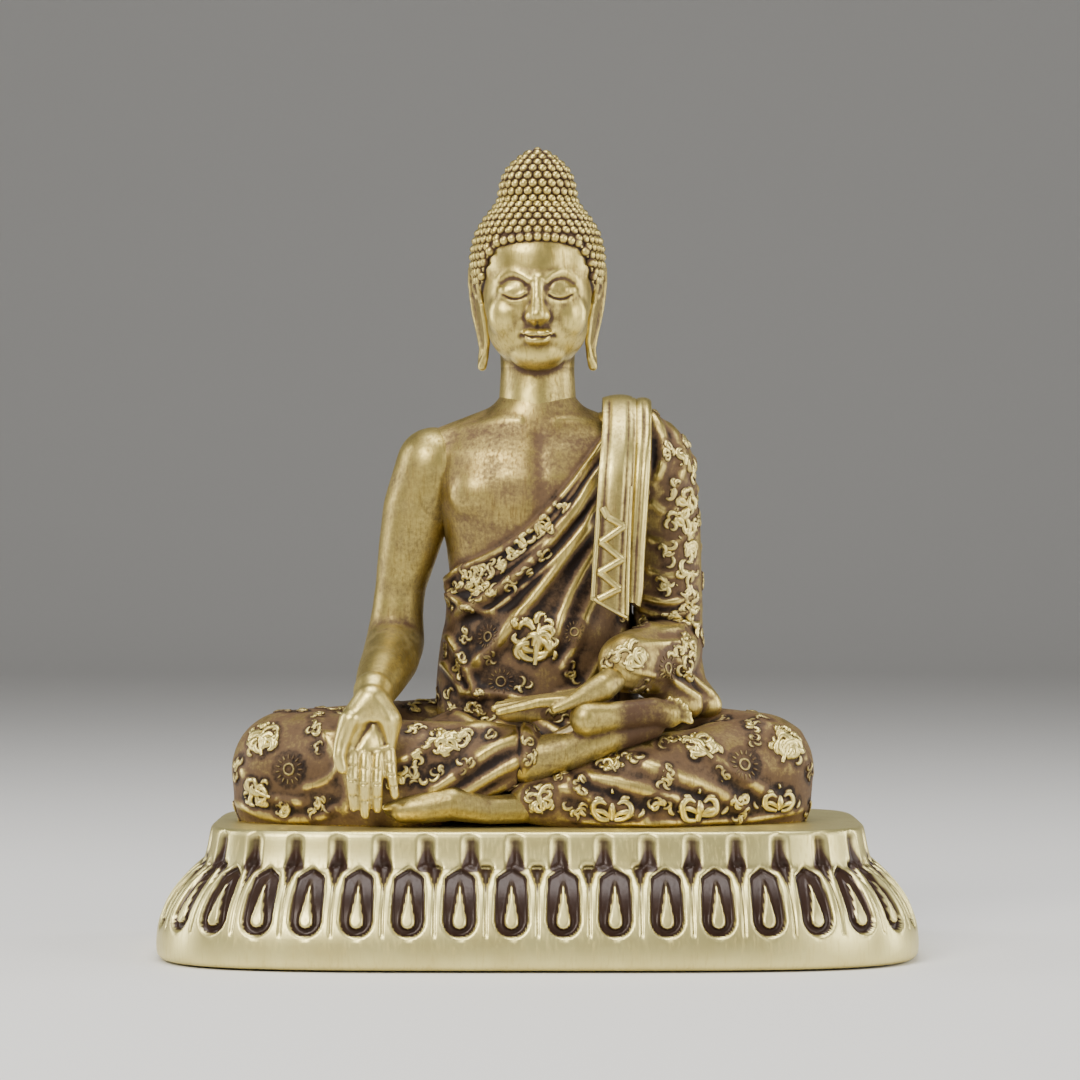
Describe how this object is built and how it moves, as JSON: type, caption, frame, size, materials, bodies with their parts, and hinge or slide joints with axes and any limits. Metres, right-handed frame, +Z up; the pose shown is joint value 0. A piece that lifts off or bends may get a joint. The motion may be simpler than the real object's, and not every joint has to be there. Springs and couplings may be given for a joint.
{
  "type": "seated buddha statue",
  "caption": "Seated robed figure in antiqued cast brass, one hand in the lap and one over the knee, bolted to an oval lotus plinth.",
  "frame": {"origin": "centre of the underside of the felt, on the surface the statue stands on", "axes": "+Z up, the figure faces -Y, +X is on the figure's own left"},
  "size_m": [0.213, 0.136, 0.2267],
  "materials": {
    "plinth_brass": "satin brushed cast brass, dark patina in the petals",
    "robe_brass": "antiqued cast brass, rubbed bright on the raised folds and ornament",
    "skin_brass": "antiqued cast brass, rubbed bright with brown left in the recesses",
    "hand_brass": "cast brass with a paler, yellower tone",
    "sash_brass": "antiqued cast brass, smooth and rubbed bright",
    "plate_brass": "plain rolled brass sheet",
    "turned_brass": "turned brass, hidden in the joints",
    "fastener_steel": "zinc plated steel",
    "felt": "dark green felt"
  },
  "bodies": {
    "root": {"plinth": "plinth_brass", "bottom_plate": "plate_brass", "bottom_plate_screws": "fastener_steel", "felt_pad": "felt", "tie_bolts": "fastener_steel", "tie_washers": "fastener_steel", "threaded_bushes": "turned_brass", "leg_casting": "robe_brass", "waist_sleeve": "turned_brass", "waist_pins": "turned_brass", "torso_casting": "robe_brass", "neck_dowel": "turned_brass", "neck_pin": "turned_brass", "head_casting": "skin_brass", "shoulder_dowels": "turned_brass", "shoulder_pins": "turned_brass", "right_arm": "skin_brass", "right_hand": "hand_brass", "left_sleeve": "robe_brass", "left_hand": "skin_brass", "wrist_dowels": "turned_brass", "right_foot": "skin_brass", "left_foot": "skin_brass", "ankle_dowels": "turned_brass", "shoulder_cloth": "sash_brass", "shoulder_cloth_pins": "turned_brass"}
  },
  "joints": []
}
